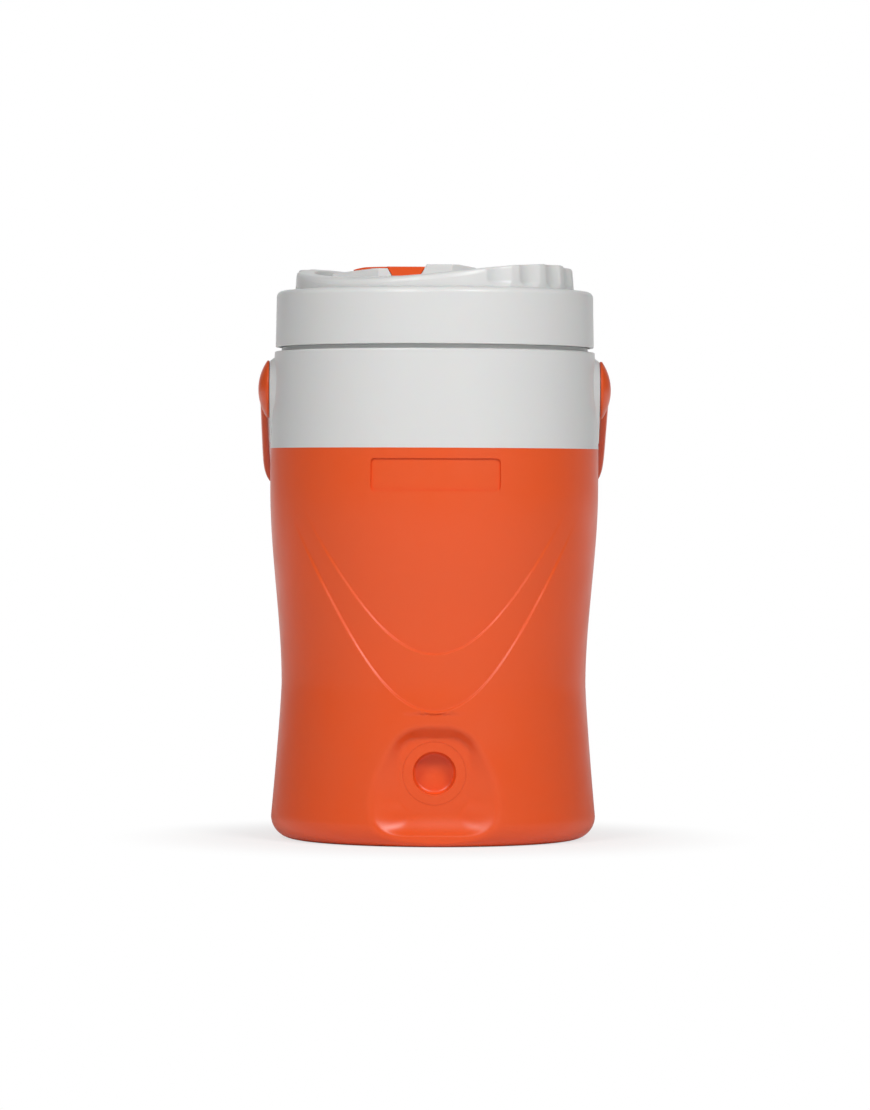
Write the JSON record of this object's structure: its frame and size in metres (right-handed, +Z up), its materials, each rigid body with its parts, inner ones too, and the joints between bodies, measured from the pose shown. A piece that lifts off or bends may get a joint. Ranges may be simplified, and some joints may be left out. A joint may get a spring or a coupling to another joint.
{
  "type": "beverage dispenser",
  "caption": "Insulated drinks jug with waisted double-wall body, threaded collar, screw lid with flip spout cap, folding bail handle and blind tap socket in a front niche.",
  "frame": {"origin": "centre of the base, on the surface that the jug stands on", "axes": "+Z up along the body's axis; the front with the tap socket faces -Y; +X is to the right as seen from the front"},
  "size_m": [0.2062, 0.2099, 0.3345],
  "materials": {
    "orange_shell": "satin moulded polyethylene",
    "orange_trim": "satin moulded polypropylene",
    "white_plastic": "satin moulded polypropylene",
    "white_liner": "smooth moulded polyethylene",
    "foam": "rigid polyurethane foam",
    "silicone": "soft silicone",
    "steel": "bright drawn pin"
  },
  "bodies": {
    "jug": {"outer_shell": "orange_shell", "foam_fill_plug": "orange_shell", "body_foam": "foam", "inner_liner": "white_liner", "collar": "white_plastic"},
    "lid_lifter": {"lid_gasket": "silicone"},
    "lid": {"lid_skirt": "white_plastic", "lid_crown": "white_plastic", "lid_inner_cover": "white_plastic", "lid_foam": "foam", "spout_tube": "white_plastic", "spout_seal": "silicone", "cap_hinge_pin": "steel"},
    "cap": {"spout_cap": "orange_trim", "cap_seal": "silicone"},
    "handle": {"handle_bail": "orange_trim"}
  },
  "joints": [
    {"name": "lid_lift", "type": "slide", "parent": "jug", "child": "lid_lifter", "axis": [0, 0, 1], "range_m": [0, 0.0081]},
    {"name": "lid_turn", "type": "hinge", "parent": "lid_lifter", "child": "lid", "pos_m": [0, 0, 0.299], "axis": [0, 0, 1], "range_deg": [0, 360]},
    {"name": "cap_flip", "type": "hinge", "parent": "lid", "child": "cap", "pos_m": [-0.0268, 0.019, 0.3317], "axis": [-1, 0, 0], "range_deg": [0, 130]},
    {"name": "handle_swing", "type": "hinge", "parent": "jug", "child": "handle", "pos_m": [0, 0, 0.262], "axis": [1, 0, 0], "range_deg": [0, 236]}
  ],
  "couplings": [
    {"joint": "lid_lift", "follows": "lid_turn", "m_per_rad": 0.0012732}
  ]
}
